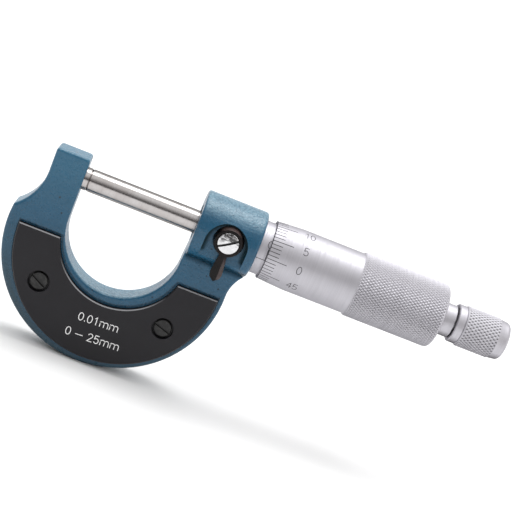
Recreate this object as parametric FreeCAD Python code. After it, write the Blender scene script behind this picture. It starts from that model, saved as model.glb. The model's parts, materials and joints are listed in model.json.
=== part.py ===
"""Outside micrometer, 0 to 25 mm, reading to 0.01 mm, closed on its anvil.

Millimetres. The origin is the centre of the anvil's measuring face, on the
spindle axis. +X runs along the spindle from the anvil to the ratchet, +Z is up
and away from the bow of the frame, and the lock lever is on the -Y side.
"""
import FreeCAD, Part
import math
import os

# Range and screw
TRAVEL = 25.0
PITCH = 0.5
NUT_START = 76.5
NUT_END = 89.5
THREAD_START = NUT_START - TRAVEL
THREAD_SPARE = 3.0
THREAD_RINGS = round((NUT_END + THREAD_SPARE - THREAD_START) / PITCH)
THREAD_CREST_R = 3.6
THREAD_ROOT_R = 3.33
ROOT_LAND = 0.2
CREST_LAND = (0.5, 0.7)
RUN_OUT = (0.6, 0.4, 0.1)
RUNNING = 0.03

# Frame casting, outline in the XZ plane
FRAME_THICK = 8.4
FRAME_EDGE = 0.8
POST_LEFT = -11.1
POST_RIGHT = -1.5
POST_TOP = 6.3
NECK_MID = (-12.45, -7.0)
SHOULDER = (-17.0, -12.9)
BOW_MID = (14.9, -49.75)
HEEL_LOW = (46.9, -16.8)
HEEL_MID = (47.5, -12.5)
HEEL_TOP = (49.4, -9.2)
THROAT_SPRING = -11.5
THROAT_MID = (15.1, -28.1)
THROAT_RIGHT = 31.4
CORNER_ROUND = 0.9

# Hub that carries the spindle guide
HUB_LEFT = 31.8
HUB_RIGHT = 49.9
HUB_R = 9.75
HUB_LEFT_ROUND = 0.7
HUB_RIGHT_ROUND = 1.0
HUB_ROOT_Z = -5.85

# Anvil and spindle
SPINDLE_R = 3.25
ANVIL_SEAT = 7.6
FACE_CHAMFER = 0.25
TAIL_R = 3.1
CONE_START = 95.0
CONE_END = 102.6
CONE_SMALL_R = 2.6
STUD_HOLE_END = 96.7

# Inner sleeve with the slit nut, and its adjusting nut
GUIDE_R = SPINDLE_R + 0.02
GUIDE_OUTER_R = 5.2
GUIDE_START = HUB_LEFT + 0.2
TUBE_R = 6.37
RELIEF_R = 3.8
RELIEF_START = HUB_RIGHT + 0.4
NUT_R = THREAD_CREST_R + RUNNING
NUT_LEAD = 0.2
NUT_TAPER_START = 81.0
NUT_TAPER_R = (5.7, 5.4)
SLIT_START = NUT_START + 0.5
SLIT_WIDTH = 0.6
SLIT_COUNT = 3
ADJUSTER = (81.8, 88.2)
ADJUSTER_R = 7.3
ADJUSTER_NOTCH = 1.5
ADJUSTER_WALL = 0.3

# Outer sleeve
SLEEVE_R = 7.65
SLEEVE_BORE_R = 6.4
SLEEVE_START = HUB_RIGHT + 0.05
SLEEVE_SPARE = 3.0
SPANNER_HOLE_R = 0.75
SPANNER_HOLE_X = HUB_RIGHT + 1.4
SPANNER_HOLE_DEPTH = 1.0

# Thimble
THIMBLE_EDGE = 52.7
SLEEVE_END = THIMBLE_EDGE + TRAVEL + SLEEVE_SPARE
THIMBLE_EDGE_R = 8.45
THIMBLE_TAPER_END = 60.3
THIMBLE_R = 9.0
GRIP_START = 79.0
GRIP_END = 105.2
GRIP_R = 9.5
GRIP_LEAD = 0.3
GRIP_ROUND = 1.3
THIMBLE_BORE_R = SLEEVE_R + 0.1
THIMBLE_WALL_START = 93.0

# Ratchet stop
NECK_START = 102.8
NECK_END = 109.2
NECK_R = 4.75
STUD_R = 1.7
STUD_TIP = 97.0
STUD_CLEARANCE = 0.05
AXLE_R = 2.0
AXLE_END = 122.9
CAP_START = 109.7
COLLAR_R = 5.6
COLLAR_END = 112.0
COLLAR_BEVEL = 0.2
CAP_GRIP_R = 6.0
CAP_GRIP_END = 122.4
CAP_END = 125.6
CAP_SHOULDER_R = 5.8
CAP_END_R = 5.4
CAP_ROUND = 1.2
CAP_FACE = CAP_START + 0.45
CAP_CAVITY_R = 4.4
TEETH = 12
TOOTH_WIDTH = 1.6
TOOTH_DEPTH = 0.6
TOOTH_INNER_R = 2.4
NOSE_CLEARANCE = 0.06
NOSE_BACK = 0.3
PLUNGER_R = 0.7
PLUNGER_ARM = 3.35
PLUNGER_BACK = 107.0
SPRING_BACK = 104.3
SPRING_R = 0.5
SPRING_WIRE_R = 0.11
SPRING_TURNS = 5
SPRING_SEAT = 1.2
END_SCREW_HEAD_R = 2.9
END_SCREW_HEAD = 1.3
END_SCREW_BREAK = 0.2
END_SCREW_SHANK_R = 1.0
END_SCREW_SHANK = 5.0
END_RECESS_R = 3.3
END_SLOT = (0.7, 0.5)

# Spindle lock, on an axis along Y that crosses the spindle axis
LOCK_X = 41.5
POCKET_X = 41.1
POCKET_Z = -1.1
POCKET_HALF = 6.1
POCKET_FLOOR = -7.4
LEVER_GAP = 0.15
BOSS_R = 4.4
BOSS_TOP_R = 3.85
BOSS_TOP = -9.9
BOSS_ROUND = 0.4
BOSS_LIP = 0.15
ARM_BACK = -7.7
ARM_RIDGE = -9.5
ARM_RIDGE_OFF = 0.5
ARM_EDGE = -8.3
ARM_NARROW = (1.0, -3.3)
ARM_WIDE = (1.75, -9.5)
ARM_SHOULDER = (1.45, -10.8)
ARM_TIP = -12.0
STUD_THREAD_R = 2.1
STUD_SQUARE = 3.4
STUD_INNER = -4.62
STUD_OUTER = -8.8
LOCK_HEAD_R = 3.02
LOCK_HEAD = (-9.05, -10.35)
LOCK_HEAD_ROUND = 0.25
LOCK_DOME_R = 11.0
LOCK_SLOT = (0.65, 0.6)
LOCK_SLOT_ANGLE = -33.0
LOCK_HEAD_GAP = 0.05
LOCK_SCREW_R = 1.0
SCREW_HOLE_GAP = 0.1
LOCK_SCREW_TIP = -6.2
SHOE_R = 1.5
SHOE_BACK = -4.55
SHOE_GAP = 0.1

# Insulating plates on both faces of the bow
PLATE_OUTER = (15.75, -18.2, 29.55)
PLATE_INNER = (15.85, -13.0, 18.05)
PLATE_TOPS = (-17.0, -17.8)
RECESS_OUTER = (15.75, -18.2, 29.85)
RECESS_INNER = (15.85, -12.65, 17.4)
RECESS_TOPS = (-16.2, -17.0)
PLATE_RECESS = 0.6
PLATE_PROUD = 1.2
PLATE_BEVEL = 0.28
PLATE_SCREW_X = (-3.15, 33.8)
PLATE_SCREW_Z = -31.1
PLATE_SINK_R = 3.15
PLATE_SINK_DEPTH = 1.35
PLATE_HEAD_R = 2.5
PLATE_HEAD = 1.0
PLATE_HEAD_ROUND = 0.25
PLATE_SLOT = (0.75, 0.5)
PLATE_SHANK_R = 1.5
PLATE_SHANK_TIP = 0.5
PLATE_SLOT_ANGLES = (28.0, 18.0)

OVERRUN = 1.0
OPEN_SIDE = 5.0
ON_PLANE = 1e-4
ORIGIN = FreeCAD.Vector(0, 0, 0)
X_AXIS = FreeCAD.Vector(1, 0, 0)
Y_AXIS = FreeCAD.Vector(0, 1, 0)
FRONT = -1
BACK = 1


def vec(x, y, z):
    return FreeCAD.Vector(x, y, z)


def turned(profile):
    """Solid of revolution about the spindle axis from closed (x, radius) points."""
    points = [vec(x, 0, radius) for x, radius in profile]
    face = Part.Face(Part.makePolygon(points + points[:1]))
    return face.revolve(ORIGIN, X_AXIS, 360)


def rod(radius, start, end):
    return Part.makeCylinder(radius, end - start, vec(start, 0, 0), X_AXIS)


def tube(outer, inner, start, end):
    return turned([(start, inner), (end, inner), (end, outer), (start, outer)])


def cross_rod(radius, x, z, y_from, y_to):
    """Cylinder along Y between two depths, in either order."""
    low = min(y_from, y_to)
    return Part.makeCylinder(radius, abs(y_to - y_from), vec(x, low, z), Y_AXIS)


def box(x_range, y_range, z_range):
    low = vec(min(x_range), min(y_range), min(z_range))
    size = [abs(r[1] - r[0]) for r in (x_range, y_range, z_range)]
    return Part.makeBox(size[0], size[1], size[2], low)


def flat_point(point, y):
    return vec(point[0], y, point[1])


def line(start, end, y):
    return Part.LineSegment(flat_point(start, y), flat_point(end, y)).toShape()


def arc(start, middle, end, y):
    points = [flat_point(p, y) for p in (start, middle, end)]
    return Part.Arc(*points).toShape()


def extruded(edges, depth):
    face = Part.Face(Part.Wire(edges))
    return face.extrude(vec(0, depth, 0))


def edges_where(shape, test):
    return [edge for edge in shape.Edges if test(edge)]


def lies_at_y(edge, y):
    box_of_edge = edge.BoundBox
    return abs(box_of_edge.YMin - y) < ON_PLANE and abs(box_of_edge.YMax - y) < ON_PLANE


def lies_at_x(edge, x):
    box_of_edge = edge.BoundBox
    return abs(box_of_edge.XMin - x) < ON_PLANE and abs(box_of_edge.XMax - x) < ON_PLANE


def outer_rim(shape, x, radius):
    """The circle of this radius round the spindle axis at x."""
    return edges_where(shape, lambda e: lies_at_x(e, x) and abs(e.BoundBox.ZMax - radius) < ON_PLANE)


def runs_along_y(edge, point):
    """True for an edge parallel to Y through the outline point."""
    box_of_edge = edge.BoundBox
    corners = [(box_of_edge.XMin, box_of_edge.ZMin), (box_of_edge.XMax, box_of_edge.ZMax)]
    return all(abs(x - point[0]) + abs(z - point[1]) < ON_PLANE for x, z in corners)


def screw_slot(slot, x, z, y_top, side, radius, angle):
    """Cutter for a (width, depth) slot across a head whose top is at y_top, facing side."""
    width, depth = slot
    y_range = (y_top - side * depth, y_top + side * OPEN_SIDE)
    cutter = box((-radius - OVERRUN, radius + OVERRUN), y_range, (-width / 2, width / 2))
    cutter.rotate(ORIGIN, Y_AXIS, angle)
    cutter.translate(vec(x, 0, z))
    return cutter


# ---------------------------------------------------------------- frame

def bow_blank():
    """Flat casting: post, bow and heel in one outline, with rounded edges."""
    y = FRAME_THICK / 2
    post_top_left = (POST_LEFT, POST_TOP)
    post_top_right = (POST_RIGHT, POST_TOP)
    post_foot = (POST_LEFT, 0)
    spring_left = (POST_RIGHT, THROAT_SPRING)
    spring_right = (THROAT_RIGHT, THROAT_SPRING)
    hub_low = (HUB_LEFT, HUB_ROOT_Z)
    inside_left = (HUB_LEFT, 0)
    inside_right = (HEEL_TOP[0], 0)
    edges = [
        line(post_top_left, post_top_right, y),
        line(post_top_right, spring_left, y),
        arc(spring_left, THROAT_MID, spring_right, y),
        line(spring_right, hub_low, y),
        line(hub_low, inside_left, y),
        line(inside_left, inside_right, y),
        line(inside_right, HEEL_TOP, y),
        arc(HEEL_TOP, HEEL_MID, HEEL_LOW, y),
        arc(HEEL_LOW, BOW_MID, SHOULDER, y),
        arc(SHOULDER, NECK_MID, post_foot, y),
        line(post_foot, post_top_left, y),
    ]
    blank = extruded(edges, -FRAME_THICK)
    corners = [post_top_left, post_top_right, HEEL_TOP, SHOULDER]
    corner_edges = edges_where(blank, lambda e: any(runs_along_y(e, c) for c in corners))
    blank = blank.makeFillet(CORNER_ROUND, corner_edges)
    rims = edges_where(blank, lambda e: lies_at_y(e, y) or lies_at_y(e, -y))
    return blank.makeFillet(FRAME_EDGE, rims)


def hub_blank():
    hub = rod(HUB_R, HUB_LEFT, HUB_RIGHT)
    hub = hub.makeFillet(HUB_LEFT_ROUND, edges_where(hub, lambda e: lies_at_x(e, HUB_LEFT)))
    return hub.makeFillet(HUB_RIGHT_ROUND, edges_where(hub, lambda e: lies_at_x(e, HUB_RIGHT)))


def lever_pocket():
    """Arch-topped pocket in the front of the hub, open towards the bow."""
    depth = (POCKET_FLOOR, -HUB_R - OPEN_SIDE)
    arch = cross_rod(POCKET_HALF, POCKET_X, POCKET_Z, *depth)
    skirt_x = (POCKET_X - POCKET_HALF, POCKET_X + POCKET_HALF)
    skirt = box(skirt_x, depth, (-HUB_R - OVERRUN, POCKET_Z))
    return arch.fuse(skirt)


def half_chord(radius, offset):
    """Half the width of a circle at a distance from its centre."""
    return math.sqrt(radius ** 2 - offset ** 2)


def plate_edges(outer, inner, tops, y):
    """Closed outline between two arcs, each given by its centre and radius, with level ends."""
    outer_x, outer_z, outer_r = outer
    inner_x, inner_z, inner_r = inner
    left_top, right_top = tops
    corners = [
        (outer_x - half_chord(outer_r, left_top - outer_z), left_top),
        (outer_x + half_chord(outer_r, right_top - outer_z), right_top),
        (inner_x + half_chord(inner_r, right_top - inner_z), right_top),
        (inner_x - half_chord(inner_r, left_top - inner_z), left_top),
    ]
    return [
        arc(corners[0], (outer_x, outer_z - outer_r), corners[1], y),
        line(corners[1], corners[2], y),
        arc(corners[2], (inner_x, inner_z - inner_r), corners[3], y),
        line(corners[3], corners[0], y),
    ]


def plate_recess(side):
    """Shallow seat for a plate, with the two tapped holes under it."""
    floor = side * (FRAME_THICK / 2 - PLATE_RECESS)
    seat = extruded(plate_edges(RECESS_OUTER, RECESS_INNER, RECESS_TOPS, floor), side * OPEN_SIDE)
    for x in PLATE_SCREW_X:
        seat = seat.fuse(cross_rod(PLATE_SHANK_R, x, PLATE_SCREW_Z, side * PLATE_SHANK_TIP, floor + side))
    return seat


def frame():
    body = bow_blank().fuse(hub_blank())
    body = body.cut(lever_pocket())
    body = body.cut(rod(GUIDE_OUTER_R, HUB_LEFT - OVERRUN, HUB_RIGHT + OVERRUN))
    body = body.cut(rod(SPINDLE_R, POST_RIGHT - ANVIL_SEAT, POST_RIGHT + OVERRUN))
    body = body.cut(cross_rod(STUD_THREAD_R + RUNNING, LOCK_X, 0, 0, -HUB_R))
    for side in (FRONT, BACK):
        body = body.cut(plate_recess(side))
    return body.removeSplitter()


def anvil():
    back = POST_RIGHT - ANVIL_SEAT
    profile = [(back, 0), (0, 0), (0, SPINDLE_R - FACE_CHAMFER)]
    profile += [(-FACE_CHAMFER, SPINDLE_R), (back, SPINDLE_R)]
    return turned(profile)


# ---------------------------------------------------------------- spindle and sleeves

def thread_profile():
    """Crest and root points of the ring grooves that stand for the thread."""
    points = []
    for ring in range(THREAD_RINGS):
        x = THREAD_START + ring * PITCH
        points += [(x, THREAD_ROOT_R), (x + ROOT_LAND * PITCH, THREAD_ROOT_R)]
        points += [(x + share * PITCH, THREAD_CREST_R) for share in CREST_LAND]
    return points


def spindle():
    thread_end = THREAD_START + THREAD_RINGS * PITCH
    shaft_end, groove_start, groove_end = [THREAD_START - distance for distance in RUN_OUT]
    profile = [(0, 0), (0, SPINDLE_R - FACE_CHAMFER), (FACE_CHAMFER, SPINDLE_R)]
    profile += [(shaft_end, SPINDLE_R), (groove_start, TAIL_R), (groove_end, TAIL_R)]
    profile += thread_profile()
    profile += [(thread_end, TAIL_R), (CONE_START, TAIL_R), (CONE_END, CONE_SMALL_R), (CONE_END, 0)]
    stud_hole = rod(STUD_R + STUD_CLEARANCE, STUD_HOLE_END, CONE_END + OVERRUN)
    return turned(profile).cut(stud_hole)


def nut_taper_radius(x):
    share = (x - NUT_TAPER_START) / (NUT_END - NUT_TAPER_START)
    return NUT_TAPER_R[0] + share * (NUT_TAPER_R[1] - NUT_TAPER_R[0])


def inner_sleeve():
    """Spindle guide pressed in the hub, its tube, and the slit nut at its end."""
    profile = [(GUIDE_START, GUIDE_R), (HUB_RIGHT, GUIDE_R), (RELIEF_START, RELIEF_R)]
    profile += [(NUT_START, RELIEF_R), (NUT_START + NUT_LEAD, NUT_R), (NUT_END, NUT_R)]
    profile += [(NUT_END, NUT_TAPER_R[1]), (NUT_TAPER_START, NUT_TAPER_R[0])]
    profile += [(NUT_TAPER_START, TUBE_R), (HUB_RIGHT, TUBE_R)]
    profile += [(HUB_RIGHT, GUIDE_OUTER_R), (GUIDE_START, GUIDE_OUTER_R)]
    sleeve = turned(profile)
    slit_y = (-SLIT_WIDTH / 2, SLIT_WIDTH / 2)
    slit = box((SLIT_START, NUT_END + OVERRUN), slit_y, (0, TUBE_R + OVERRUN))
    for index in range(SLIT_COUNT):
        cutter = slit.copy()
        cutter.rotate(ORIGIN, X_AXIS, index * 360 / SLIT_COUNT)
        sleeve = sleeve.cut(cutter)
    outside = -GUIDE_OUTER_R - OVERRUN
    sleeve = sleeve.cut(cross_rod(SHOE_R + RUNNING, LOCK_X, 0, 0, outside))
    return sleeve.cut(cross_rod(STUD_THREAD_R + RUNNING, LOCK_X, 0, STUD_INNER, outside))


def adjusting_nut():
    start, end = ADJUSTER
    nut = turned([
        (start, nut_taper_radius(start)),
        (end, nut_taper_radius(end)),
        (end, ADJUSTER_R),
        (start, ADJUSTER_R),
    ])
    notch_x = (end - ADJUSTER_NOTCH, end + OVERRUN)
    notch_y = (-ADJUSTER_R - OVERRUN, ADJUSTER_R + OVERRUN)
    notch_z = (-ADJUSTER_NOTCH / 2, ADJUSTER_NOTCH / 2)
    notches = box(notch_x, notch_y, notch_z)
    keep = rod(nut_taper_radius(start) + ADJUSTER_WALL, start, end + OVERRUN)
    return nut.cut(notches.cut(keep))


def outer_sleeve():
    sleeve = tube(SLEEVE_R, SLEEVE_BORE_R, SLEEVE_START, SLEEVE_END)
    floor = SLEEVE_R - SPANNER_HOLE_DEPTH
    return sleeve.cut(cross_rod(SPANNER_HOLE_R, SPANNER_HOLE_X, 0, floor, SLEEVE_R + OVERRUN))


# ---------------------------------------------------------------- thimble and ratchet

def thimble():
    profile = [(THIMBLE_EDGE, THIMBLE_BORE_R), (THIMBLE_EDGE, THIMBLE_EDGE_R)]
    profile += [(THIMBLE_TAPER_END, THIMBLE_R), (GRIP_START, THIMBLE_R)]
    profile += [(GRIP_START + GRIP_LEAD, GRIP_R), (GRIP_END, GRIP_R), (GRIP_END, NECK_R)]
    profile += [(NECK_START, NECK_R), (NECK_START, CONE_SMALL_R + RUNNING)]
    profile += [(CONE_END, CONE_SMALL_R + RUNNING), (CONE_START, TAIL_R + RUNNING)]
    profile += [(THIMBLE_WALL_START, TAIL_R + RUNNING), (THIMBLE_WALL_START, THIMBLE_BORE_R)]
    body = turned(profile)
    return body.makeFillet(GRIP_ROUND, outer_rim(body, GRIP_END, GRIP_R))


def ratchet_base():
    """Stud that clamps the thimble to the spindle, neck, and axle for the cap."""
    profile = [(STUD_TIP, 0), (STUD_TIP, STUD_R), (NECK_START, STUD_R), (NECK_START, NECK_R)]
    profile += [(NECK_END, NECK_R), (NECK_END, AXLE_R), (AXLE_END, AXLE_R), (AXLE_END, 0)]
    body = turned(profile)
    body = body.cut(rod(END_SCREW_SHANK_R, AXLE_END - END_SCREW_SHANK, AXLE_END + OVERRUN))
    plunger_hole = rod(PLUNGER_R + STUD_CLEARANCE, SPRING_BACK, NECK_END + OVERRUN)
    plunger_hole.translate(vec(0, -PLUNGER_ARM, 0))
    return body.cut(plunger_hole)


def tooth_cutter(clearance):
    """Saw-tooth groove across the face ring, at the plunger's place."""
    half = TOOTH_WIDTH / 2
    outside = CAP_FACE - OVERRUN
    corners = [(-half, CAP_FACE), (half, CAP_FACE + TOOTH_DEPTH), (half, outside), (-half, outside)]
    points = [vec(x - clearance, -CAP_CAVITY_R, z) for z, x in corners]
    face = Part.Face(Part.makePolygon(points + points[:1]))
    return face.extrude(vec(0, CAP_CAVITY_R - TOOTH_INNER_R, 0))


def ratchet_cap():
    """Knurled cap that slips on the plunger once the measuring force is reached."""
    profile = [(CAP_START, CAP_CAVITY_R), (CAP_START, COLLAR_R), (COLLAR_END, COLLAR_R)]
    profile += [(COLLAR_END + COLLAR_BEVEL, CAP_GRIP_R), (CAP_GRIP_END, CAP_GRIP_R)]
    profile += [(CAP_GRIP_END, CAP_SHOULDER_R), (CAP_END, CAP_END_R), (CAP_END, END_RECESS_R)]
    profile += [(AXLE_END, END_RECESS_R), (AXLE_END, AXLE_R + RUNNING)]
    profile += [(CAP_FACE, AXLE_R + RUNNING), (CAP_FACE, CAP_CAVITY_R)]
    body = turned(profile)
    body = body.makeFillet(CAP_ROUND, outer_rim(body, CAP_END, CAP_END_R))
    for index in range(TEETH):
        groove = tooth_cutter(0)
        groove.rotate(ORIGIN, X_AXIS, index * 360 / TEETH)
        body = body.cut(groove)
    return body


def ratchet_plunger():
    """Sprung pin with a bevelled nose that sits in one tooth of the cap."""
    pin = rod(PLUNGER_R, PLUNGER_BACK, CAP_FACE + TOOTH_DEPTH)
    shank = rod(PLUNGER_R, PLUNGER_BACK, CAP_FACE - NOSE_BACK)
    for piece in (pin, shank):
        piece.translate(vec(0, -PLUNGER_ARM, 0))
    nose = pin.common(tooth_cutter(NOSE_CLEARANCE))
    return shank.fuse(nose).removeSplitter()


def ratchet_spring():
    """Compression spring behind the plunger."""
    coil_radius = SPRING_R - SPRING_WIRE_R
    seat = SPRING_SEAT * SPRING_WIRE_R
    length = PLUNGER_BACK - SPRING_BACK - 2 * seat
    helix = Part.makeHelix(length / SPRING_TURNS, length, coil_radius)
    section = Part.Wire(Part.makeCircle(SPRING_WIRE_R, vec(coil_radius, 0, 0), Y_AXIS))
    coil = Part.Wire(helix.Edges).makePipeShell([section], True, True)
    coil.rotate(ORIGIN, Y_AXIS, 90)
    coil.translate(vec(SPRING_BACK + seat, -PLUNGER_ARM, 0))
    return coil


def ratchet_retaining_screw():
    """Slotted screw in the end of the axle that holds the cap on."""
    head_end = AXLE_END + END_SCREW_HEAD
    shank_start = AXLE_END - END_SCREW_SHANK
    profile = [(shank_start, 0), (shank_start, END_SCREW_SHANK_R), (AXLE_END, END_SCREW_SHANK_R)]
    profile += [(AXLE_END, END_SCREW_HEAD_R), (head_end - END_SCREW_BREAK, END_SCREW_HEAD_R)]
    profile += [(head_end, END_SCREW_HEAD_R - END_SCREW_BREAK), (head_end, 0)]
    width, depth = END_SLOT
    slot_z = (-END_SCREW_HEAD_R - OVERRUN, END_SCREW_HEAD_R + OVERRUN)
    slot = box((head_end - depth, head_end + OVERRUN), (-width / 2, width / 2), slot_z)
    return turned(profile).cut(slot)


# ---------------------------------------------------------------- spindle lock

def lever_arm():
    """Tapered arm with a ridge down its middle and a pointed end."""
    sections = []
    for half, z in (ARM_NARROW, ARM_WIDE, ARM_SHOULDER):
        points = [
            vec(LOCK_X - half, ARM_BACK, z),
            vec(LOCK_X + half, ARM_BACK, z),
            vec(LOCK_X + half, ARM_EDGE, z),
            vec(LOCK_X + ARM_RIDGE_OFF, ARM_RIDGE, z),
            vec(LOCK_X - half, ARM_EDGE, z),
        ]
        sections.append(Part.makePolygon(points + points[:1]))
    arm = Part.makeLoft(sections, True, True)
    half, z = ARM_SHOULDER
    tip = [
        vec(LOCK_X - half, 0, z),
        vec(LOCK_X + half, 0, z),
        vec(LOCK_X, 0, ARM_TIP),
    ]
    wedge = Part.Face(Part.makePolygon(tip + tip[:1])).extrude(vec(0, ARM_EDGE - ARM_BACK, 0))
    wedge.translate(vec(0, ARM_BACK, 0))
    root_x = (LOCK_X - ARM_NARROW[0], LOCK_X + ARM_NARROW[0])
    root = box(root_x, (ARM_BACK, ARM_EDGE), (ARM_NARROW[1], 0))
    return arm.fuse([wedge, root])


def counterbore_lip():
    """Cone that bevels the mouth of the boss's recess."""
    mouth = LOCK_HEAD_R + LOCK_HEAD_GAP
    return Part.makeCone(mouth + BOSS_LIP, mouth, BOSS_LIP, vec(LOCK_X, BOSS_TOP, 0), Y_AXIS)


def lock_lever():
    """Lever whose tapered boss is squared on the stud and recessed for its screw."""
    base = POCKET_FLOOR - LEVER_GAP
    boss = Part.makeCone(BOSS_TOP_R, BOSS_R, base - BOSS_TOP, vec(LOCK_X, BOSS_TOP, 0), Y_AXIS)
    boss = boss.makeFillet(BOSS_ROUND, edges_where(boss, lambda e: lies_at_y(e, BOSS_TOP)))
    body = boss.fuse(lever_arm()).removeSplitter()
    half = STUD_SQUARE / 2
    square = box((LOCK_X - half, LOCK_X + half), (0, STUD_OUTER), (-half, half))
    screw_hole = cross_rod(LOCK_SCREW_R + SCREW_HOLE_GAP, LOCK_X, 0, 0, BOSS_TOP)
    body = body.cut(square.fuse(screw_hole))
    body = body.cut(cross_rod(LOCK_HEAD_R + LOCK_HEAD_GAP, LOCK_X, 0, LOCK_HEAD[0], BOSS_TOP - OVERRUN))
    return body.cut(counterbore_lip())


def lock_stud():
    """Threaded stud that the lever turns, pressing on the shoe."""
    half = STUD_SQUARE / 2
    square = box((LOCK_X - half, LOCK_X + half), (POCKET_FLOOR - LEVER_GAP, STUD_OUTER), (-half, half))
    thread = cross_rod(STUD_THREAD_R, LOCK_X, 0, STUD_INNER, POCKET_FLOOR - LEVER_GAP)
    screw_hole = cross_rod(LOCK_SCREW_R, LOCK_X, 0, LOCK_SCREW_TIP, STUD_OUTER - OVERRUN)
    return thread.fuse(square).cut(screw_hole)


def lock_lever_screw():
    """Screw with a shallow domed head that holds the lever on its stud."""
    seat, top = LOCK_HEAD
    head = cross_rod(LOCK_HEAD_R, LOCK_X, 0, seat, top)
    head = head.common(Part.makeSphere(LOCK_DOME_R, vec(LOCK_X, top + LOCK_DOME_R, 0)))
    rim_y = top + LOCK_DOME_R - half_chord(LOCK_DOME_R, LOCK_HEAD_R)
    head = head.makeFillet(LOCK_HEAD_ROUND, edges_where(head, lambda e: lies_at_y(e, rim_y)))
    screw = head.fuse(cross_rod(LOCK_SCREW_R, LOCK_X, 0, LOCK_SCREW_TIP, seat))
    return screw.cut(screw_slot(LOCK_SLOT, LOCK_X, 0, top, FRONT, LOCK_HEAD_R, LOCK_SLOT_ANGLE))


def lock_shoe():
    """Bronze pad with a hollowed end that bears on the spindle."""
    pad = cross_rod(SHOE_R, LOCK_X, 0, SHOE_BACK, 0)
    return pad.cut(rod(SPINDLE_R + SHOE_GAP, LOCK_X - SHOE_R - OVERRUN, LOCK_X + SHOE_R + OVERRUN))


# ---------------------------------------------------------------- insulating plates

def insulating_plate(side):
    seat = side * (FRAME_THICK / 2 - PLATE_RECESS)
    face = side * (FRAME_THICK / 2 + PLATE_PROUD)
    plate = extruded(plate_edges(PLATE_OUTER, PLATE_INNER, PLATE_TOPS, seat), face - seat)
    plate = plate.makeChamfer(PLATE_BEVEL, edges_where(plate, lambda e: lies_at_y(e, face)))
    for x in PLATE_SCREW_X:
        plate = plate.cut(cross_rod(PLATE_SHANK_R + SCREW_HOLE_GAP, x, PLATE_SCREW_Z, 0, face))
        sink = cross_rod(PLATE_SINK_R, x, PLATE_SCREW_Z, face - side * PLATE_SINK_DEPTH, face + side)
        plate = plate.cut(sink)
    return plate


def plate_screw(side, x, angle):
    face = side * (FRAME_THICK / 2 + PLATE_PROUD)
    seat = face - side * PLATE_SINK_DEPTH
    top = seat + side * PLATE_HEAD
    head = cross_rod(PLATE_HEAD_R, x, PLATE_SCREW_Z, seat, top)
    head = head.makeFillet(PLATE_HEAD_ROUND, edges_where(head, lambda e: lies_at_y(e, top)))
    screw = head.fuse(cross_rod(PLATE_SHANK_R, x, PLATE_SCREW_Z, side * PLATE_SHANK_TIP, seat))
    return screw.cut(screw_slot(PLATE_SLOT, x, PLATE_SCREW_Z, top, side, PLATE_HEAD_R, angle))


def build():
    """Every node's name with its solid."""
    nodes = {
        "frame": frame(),
        "anvil": anvil(),
        "inner_sleeve": inner_sleeve(),
        "adjusting_nut": adjusting_nut(),
        "outer_sleeve": outer_sleeve(),
        "spindle": spindle(),
        "thimble": thimble(),
        "ratchet_base": ratchet_base(),
        "ratchet_plunger": ratchet_plunger(),
        "ratchet_spring": ratchet_spring(),
        "ratchet_cap": ratchet_cap(),
        "ratchet_retaining_screw": ratchet_retaining_screw(),
        "lock_lever": lock_lever(),
        "lock_lever_screw": lock_lever_screw(),
        "lock_stud": lock_stud(),
        "lock_shoe": lock_shoe(),
    }
    for name, side in (("front", FRONT), ("back", BACK)):
        nodes[name + "_plate"] = insulating_plate(side)
        for place, x, angle in zip(("anvil_side", "hub_side"), PLATE_SCREW_X, PLATE_SLOT_ANGLES):
            nodes[f"{name}_plate_screw_{place}"] = plate_screw(side, x, angle)
    return nodes


os.makedirs("parts", exist_ok=True)
for name, shape in build().items():
    shape.exportStep(f"parts/{name}.step")
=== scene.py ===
"""The looks of the outside micrometer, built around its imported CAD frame.

Lengths in the making functions are millimetres in the row frame: +X along the
spindle, +Z up, -Y the side with the lock lever. Meshes are made in metres.
"""
import json
import math

import bmesh
import bpy
from mathutils import Matrix, Vector


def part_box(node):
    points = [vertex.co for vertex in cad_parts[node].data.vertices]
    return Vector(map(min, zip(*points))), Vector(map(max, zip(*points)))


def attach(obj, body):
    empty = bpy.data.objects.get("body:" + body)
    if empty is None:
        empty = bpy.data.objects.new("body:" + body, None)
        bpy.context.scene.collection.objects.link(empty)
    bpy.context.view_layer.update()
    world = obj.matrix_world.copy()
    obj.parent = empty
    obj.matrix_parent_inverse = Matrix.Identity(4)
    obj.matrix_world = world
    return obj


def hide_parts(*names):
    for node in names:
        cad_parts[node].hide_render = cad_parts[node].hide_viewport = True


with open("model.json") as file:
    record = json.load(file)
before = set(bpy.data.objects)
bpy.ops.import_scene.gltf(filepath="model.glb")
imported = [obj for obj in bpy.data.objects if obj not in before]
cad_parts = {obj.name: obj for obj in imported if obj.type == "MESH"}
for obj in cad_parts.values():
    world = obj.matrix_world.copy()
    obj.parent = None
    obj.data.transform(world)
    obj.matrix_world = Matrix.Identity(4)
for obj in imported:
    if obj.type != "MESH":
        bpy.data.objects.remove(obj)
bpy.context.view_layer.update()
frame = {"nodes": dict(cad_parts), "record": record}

MM = 0.001
NODE_SLOTS = {row["node"]: row["material_slot"] for row in frame["record"]["subparts"]}


def extent(node):
    """Lowest and highest corner of a CAD node, in millimetres."""
    low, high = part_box(node)
    return Vector(low) / MM, Vector(high) / MM


# Places taken from the frame
FRAME_LOW = extent("frame")[0]
THIMBLE_LOW, THIMBLE_HIGH = extent("thimble")
SLEEVE_LOW, SLEEVE_HIGH = extent("outer_sleeve")
CAP_LOW, CAP_HIGH = extent("ratchet_cap")
PLATE_LOW = extent("front_plate")[0]
LOCK_SCREW_LOW, LOCK_SCREW_HIGH = extent("lock_lever_screw")
LOCK_X = (LOCK_SCREW_LOW.x + LOCK_SCREW_HIGH.x) / 2
NECK_R = extent("ratchet_base")[1].z

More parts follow.
